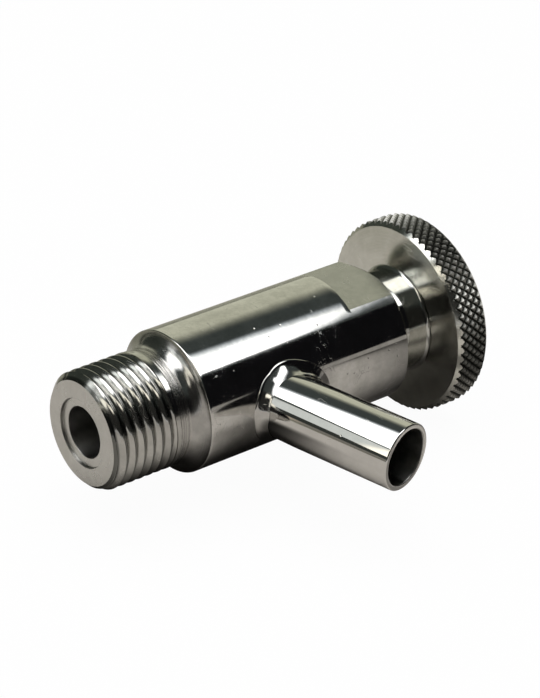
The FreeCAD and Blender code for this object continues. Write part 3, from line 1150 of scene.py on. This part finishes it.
# Level cards above the tap, turned like the room that the photo's steel shows. Each row is height in m,
# tone, tone at the edge, and the straight sides. Each side is given by the way it faces in degrees, how far
# out it lies and how far in its fade reaches, all for a card 1 m up; the card's height scales them.
ceilings = {
    "window": (0.80, (4.0, 4.0, 4.0), (1.6, 1.8, 2.0), (
        (8, 0.47, 0.28), (23, 0.53, 0.16), (101, 1.125, 0.02), (180, 0.78, 0.22), (-135, 0.16, 0.20))),
    "farWindow": (0.79, (4.0, 4.0, 4.0), (1.6, 1.8, 2.0), (
        (8, 0.47, 0.28), (-42, 0.80, 0.10), (-90, 0.98, 0.06), (180, 0.10, 0.10), (90, 0.10, 0.15))),
    "darkCeiling": (0.90, (0.065, 0.077, 0.075), (0.12, 0.13, 0.11), (
        (0, 1.50, 0.70), (90, 1.7, 0.05), (180, 1.7, 0.05), (-90, 1.7, 0.05))),
}
ceilingTurn = 46.1


def lightPathMask(tree):
    # 1 for what the camera sees straight, in a mirror or through glass
    path = addNode(tree, "ShaderNodeLightPath")
    return maths("MAXIMUM", path.outputs["Is Camera Ray"], maths(
        "MAXIMUM", path.outputs["Is Glossy Ray"], path.outputs["Is Transmission Ray"]))


def blankMaterial(name):
    material = bpy.data.materials.new(name)
    material.use_nodes = True
    tree = material.node_tree
    tree.nodes.clear()
    return material, tree, tree.nodes.new("ShaderNodeOutputMaterial").inputs["Surface"]


def shading(tree, kind, tone):
    node = addNode(tree, kind)
    feed(node.inputs["Color"], tone)
    return node.outputs[0]


def mixShaders(share, first, second):
    return wired("ShaderNodeMixShader", (share, first, second)).outputs[0]


def flatPlane(name, width, height, material):
    x, y = width / 2, height / 2
    mesh = newMesh(name, [(-x, -y, 0), (x, -y, 0), (x, y, 0), (-x, y, 0)], [(0, 1, 2, 3)])
    mesh.materials.append(material)
    plane = newPiece(name, mesh)
    return plane


def onlyMirrored(thing):
    thing.visible_camera = False
    thing.visible_diffuse = False
    thing.visible_shadow = False
    thing.visible_transmission = False


def makeFloor():
    material, tree, surface = blankMaterial("paleFloor")
    share = times(lightPathMask(tree), stageLook["floorGlow"])
    plain = shading(tree, "ShaderNodeBsdfDiffuse", (0.8, 0.8, 0.8))
    white = shading(tree, "ShaderNodeEmission", (1.0, 1.0, 1.0))
    feed(surface, mixShaders(share, plain, white))
    floor = flatPlane("floor", 2 * stageLook["floorReach"], 2 * stageLook["floorReach"], material)
    floor.location.z = stageLook["floorZ"] * mm


def makeBench():
    # painted shadow: its tone is dark where the tap keeps the light off, on top of the shadow that the lamp
    # casts
    look = benchLook
    material, tree, surface = blankMaterial("benchTop")
    position = addNode(tree, "ShaderNodeTexCoord").outputs["Object"]
    x, y, _ = parts(position)

    def change(value, edge, start, end):
        return ranged(value, edge[0] * mm, edge[1] * mm, start, end)

    middle = (look["shadeFrom"] + knobHigh.x) / 2 * mm
    halfLength = (knobHigh.x - look["shadeFrom"]) / 2 * mm
    beyond = maths("MAXIMUM", 0.0, less(maths("ABSOLUTE", less(x, middle)), halfLength))
    away = over(vectors("LENGTH", together(beyond, y, 0.0)),
                change(x, look["knobReachEdge"], 1.0, look["knobReach"]))
    least = change(x, look["knobFloorEdge"], look["shadeFloor"], look["knobShadeFloor"])
    shade = change(away, (look["shadeStart"], look["shadeEnd"]), least, 1.0)

    # the painted shadows of the tube and the knob slant away from the tap, on the side of the tube only
    slanted = maths("MULTIPLY_ADD", y, look["slant"], x)
    tubeShadow = maths("MAXIMUM", change(slanted, look["tubeEdge"], 1.0, look["tubeShare"]),
                       change(slanted, look["tubeEndEdge"], look["tubeShare"], 1.0))
    knobShadow = change(slanted, look["knobEdge"], 1.0, look["knobShare"])
    front = change(y, look["frontEdge"], 0.0, 1.0)
    beside = maths("MULTIPLY_ADD", front, less(times(tubeShadow, knobShadow), 1.0), 1.0)
    speckle = maths("MULTIPLY_ADD", grain(position, look["speckleScale"], 4.0), look["speckle"],
                    look["speckleLeast"])
    # the painted shadow and a speckle scale the bench's tone
    tone = vectors("SCALE", tinted(
        change(y, look["backEdge"], 0.0, 1.0), look["tone"], look["backTone"]))
    feed(tone.node.inputs["Scale"], times(times(shade, beside), speckle))
    feed(surface, shading(tree, "ShaderNodeBsdfDiffuse", tone))
    bench = flatPlane("bench", 2 * look["reach"], 2 * look["reach"], material)
    bench.location.z = (stageLook["floorZ"] + look["lift"]) * mm
    onlyMirrored(bench)


def cardMaterial(name, sides, tone, edgeTone):
    # glows with its tone inside the given sides and fades to clear towards each of them
    material, tree, surface = blankMaterial(name)
    position = addNode(tree, "ShaderNodeTexCoord").outputs["Object"]
    solid = 1.0
    for facing, reach, soft in sides:
        outwards = Vector((cos(radians(facing)), sin(radians(facing)), 0))
        share = ranged(vectors("DOT_PRODUCT", position, outwards), reach, reach - soft)
        solid = times(solid, share)
    clear = addNode(tree, "ShaderNodeBsdfTransparent").outputs[0]
    glow = shading(tree, "ShaderNodeEmission", tinted(solid, edgeTone, tone))
    feed(surface, mixShaders(solid, clear, glow))
    return material


def makeWall(name, distance, azimuth, elevation, tone, soft):
    low, high = (distance * tan(radians(angle)) for angle in elevation)
    start, end = (radians(angle) for angle in azimuth)
    middle, halfWidth = (start + end) / 2, distance * tan((end - start) / 2)
    halfHeight = (high - low) / 2
    sideSoft, topSoft = (distance * radians(angle) for angle in soft)
    sides = ((0, halfWidth, sideSoft), (180, halfWidth, sideSoft), (90, halfHeight, topSoft),
             (-90, halfHeight, footFade))
    card = flatPlane(name, 2 * halfWidth, 2 * halfHeight, cardMaterial(name, sides, tone, tone))
    card.location = (cos(middle) * distance, sin(middle) * distance, (low + high) / 2)
    card.rotation_euler = (radians(90), 0, middle - radians(90))
    onlyMirrored(card)


def makeCeiling(name, height, tone, edgeTone, sides):
    sides = [(facing, reach * height, soft * height) for facing, reach, soft in sides]
    span = 2 * max(reach for _, reach, _ in sides)
    card = flatPlane(name, span, span, cardMaterial(name, sides, tone, edgeTone))
    card.location.z = height
    card.rotation_euler.z = radians(ceilingTurn)
    onlyMirrored(card)


def makeLamp():
    lamp = bpy.data.lights.new("lamp", "AREA")
    lamp.energy = stageLook["lampPower"]
    lamp.size = stageLook["lampSize"]
    held = newPiece("lamp", lamp)
    held.location = stageLook["lampPlace"]
    held.rotation_euler = (-held.location).to_track_quat("-Z", "Y").to_euler()
    held.visible_glossy = False
    held.visible_camera = False


def makeWorld():
    world = bpy.data.worlds.new("paleRoom")
    world.use_nodes = True
    tree = world.node_tree
    back = tree.nodes["Background"]
    feed(back.inputs["Color"], (1.0, 1.0, 1.0))
    feed(back.inputs["Strength"], ranged(
        lightPathMask(tree), 0.0, 1.0, stageLook["ambient"], 1.0, smooth=False))
    scene.world = world


makeFloor()
makeBench()
for name, wall in walls.items():
    makeWall(name, *wall)
for name, ceiling in ceilings.items():
    makeCeiling(name, *ceiling)
makeLamp()
makeWorld()
print("stage made")


# Camera

viewPoint = {
    "place": (-234.09, -315.93, 246.95),
    "heading": -39.53,
    "tilt": 59.22,
    "roll": 2.71,
    "lens": 142.13,
    "sensor": 36.0,
}


def makeCamera():
    data = bpy.data.cameras.new("camera")
    data.lens = viewPoint["lens"]
    data.sensor_width = viewPoint["sensor"]
    data.clip_start = 0.01
    camera = newPiece("camera", data)
    camera.matrix_world = (
        Matrix.Translation(Vector(viewPoint["place"]) * mm)
        @ Matrix.Rotation(radians(viewPoint["heading"]), 4, "Z")
        @ Matrix.Rotation(radians(viewPoint["tilt"]), 4, "X")
        @ Matrix.Rotation(radians(viewPoint["roll"]), 4, "Z"))
    scene.camera = camera


makeCamera()
scene.view_settings.view_transform = "Standard"
